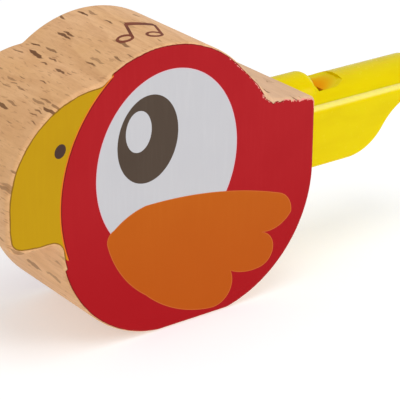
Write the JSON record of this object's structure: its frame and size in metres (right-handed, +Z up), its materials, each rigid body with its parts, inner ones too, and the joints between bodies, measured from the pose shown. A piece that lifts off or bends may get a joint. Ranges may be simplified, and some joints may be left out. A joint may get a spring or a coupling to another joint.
{
  "type": "bird slide whistle",
  "caption": "Wooden bird toy with a painted face and a plastic whistle for a tail; the whistle slides in and out of the bird to bend its note.",
  "frame": {"origin": "the middle of the flat that the bird stands on", "axes": "+X along the bird from the beak to the whistle's mouthpiece, Y across the thickness of the block, +Z up"},
  "size_m": [0.1214, 0.0306, 0.0649],
  "materials": {
    "beech": "fine sanded, clear matt lacquer",
    "yellow_abs": "polished mould",
    "white_acetal": "turned",
    "seal_rubber": "greased",
    "red_paint": "satin paint, printed on the block's two faces",
    "beak_paint": "satin paint, worn at its edges",
    "white_paint": "satin paint",
    "brown_paint": "satin paint",
    "orange_paint": "satin paint"
  },
  "bodies": {
    "bird": {"bird_body": "beech", "bore_bush": "white_acetal"},
    "whistle": {"slide_tube": "yellow_abs", "rear_seal_ring": "seal_rubber", "front_seal_ring": "seal_rubber", "lower_shell": "yellow_abs", "fipple_block": "yellow_abs", "upper_shell": "yellow_abs"}
  },
  "joints": [
    {"name": "whistle_slide", "type": "slide", "parent": "bird", "child": "whistle", "axis": [1, 0, 0], "range_m": [0, 0.025]}
  ]
}
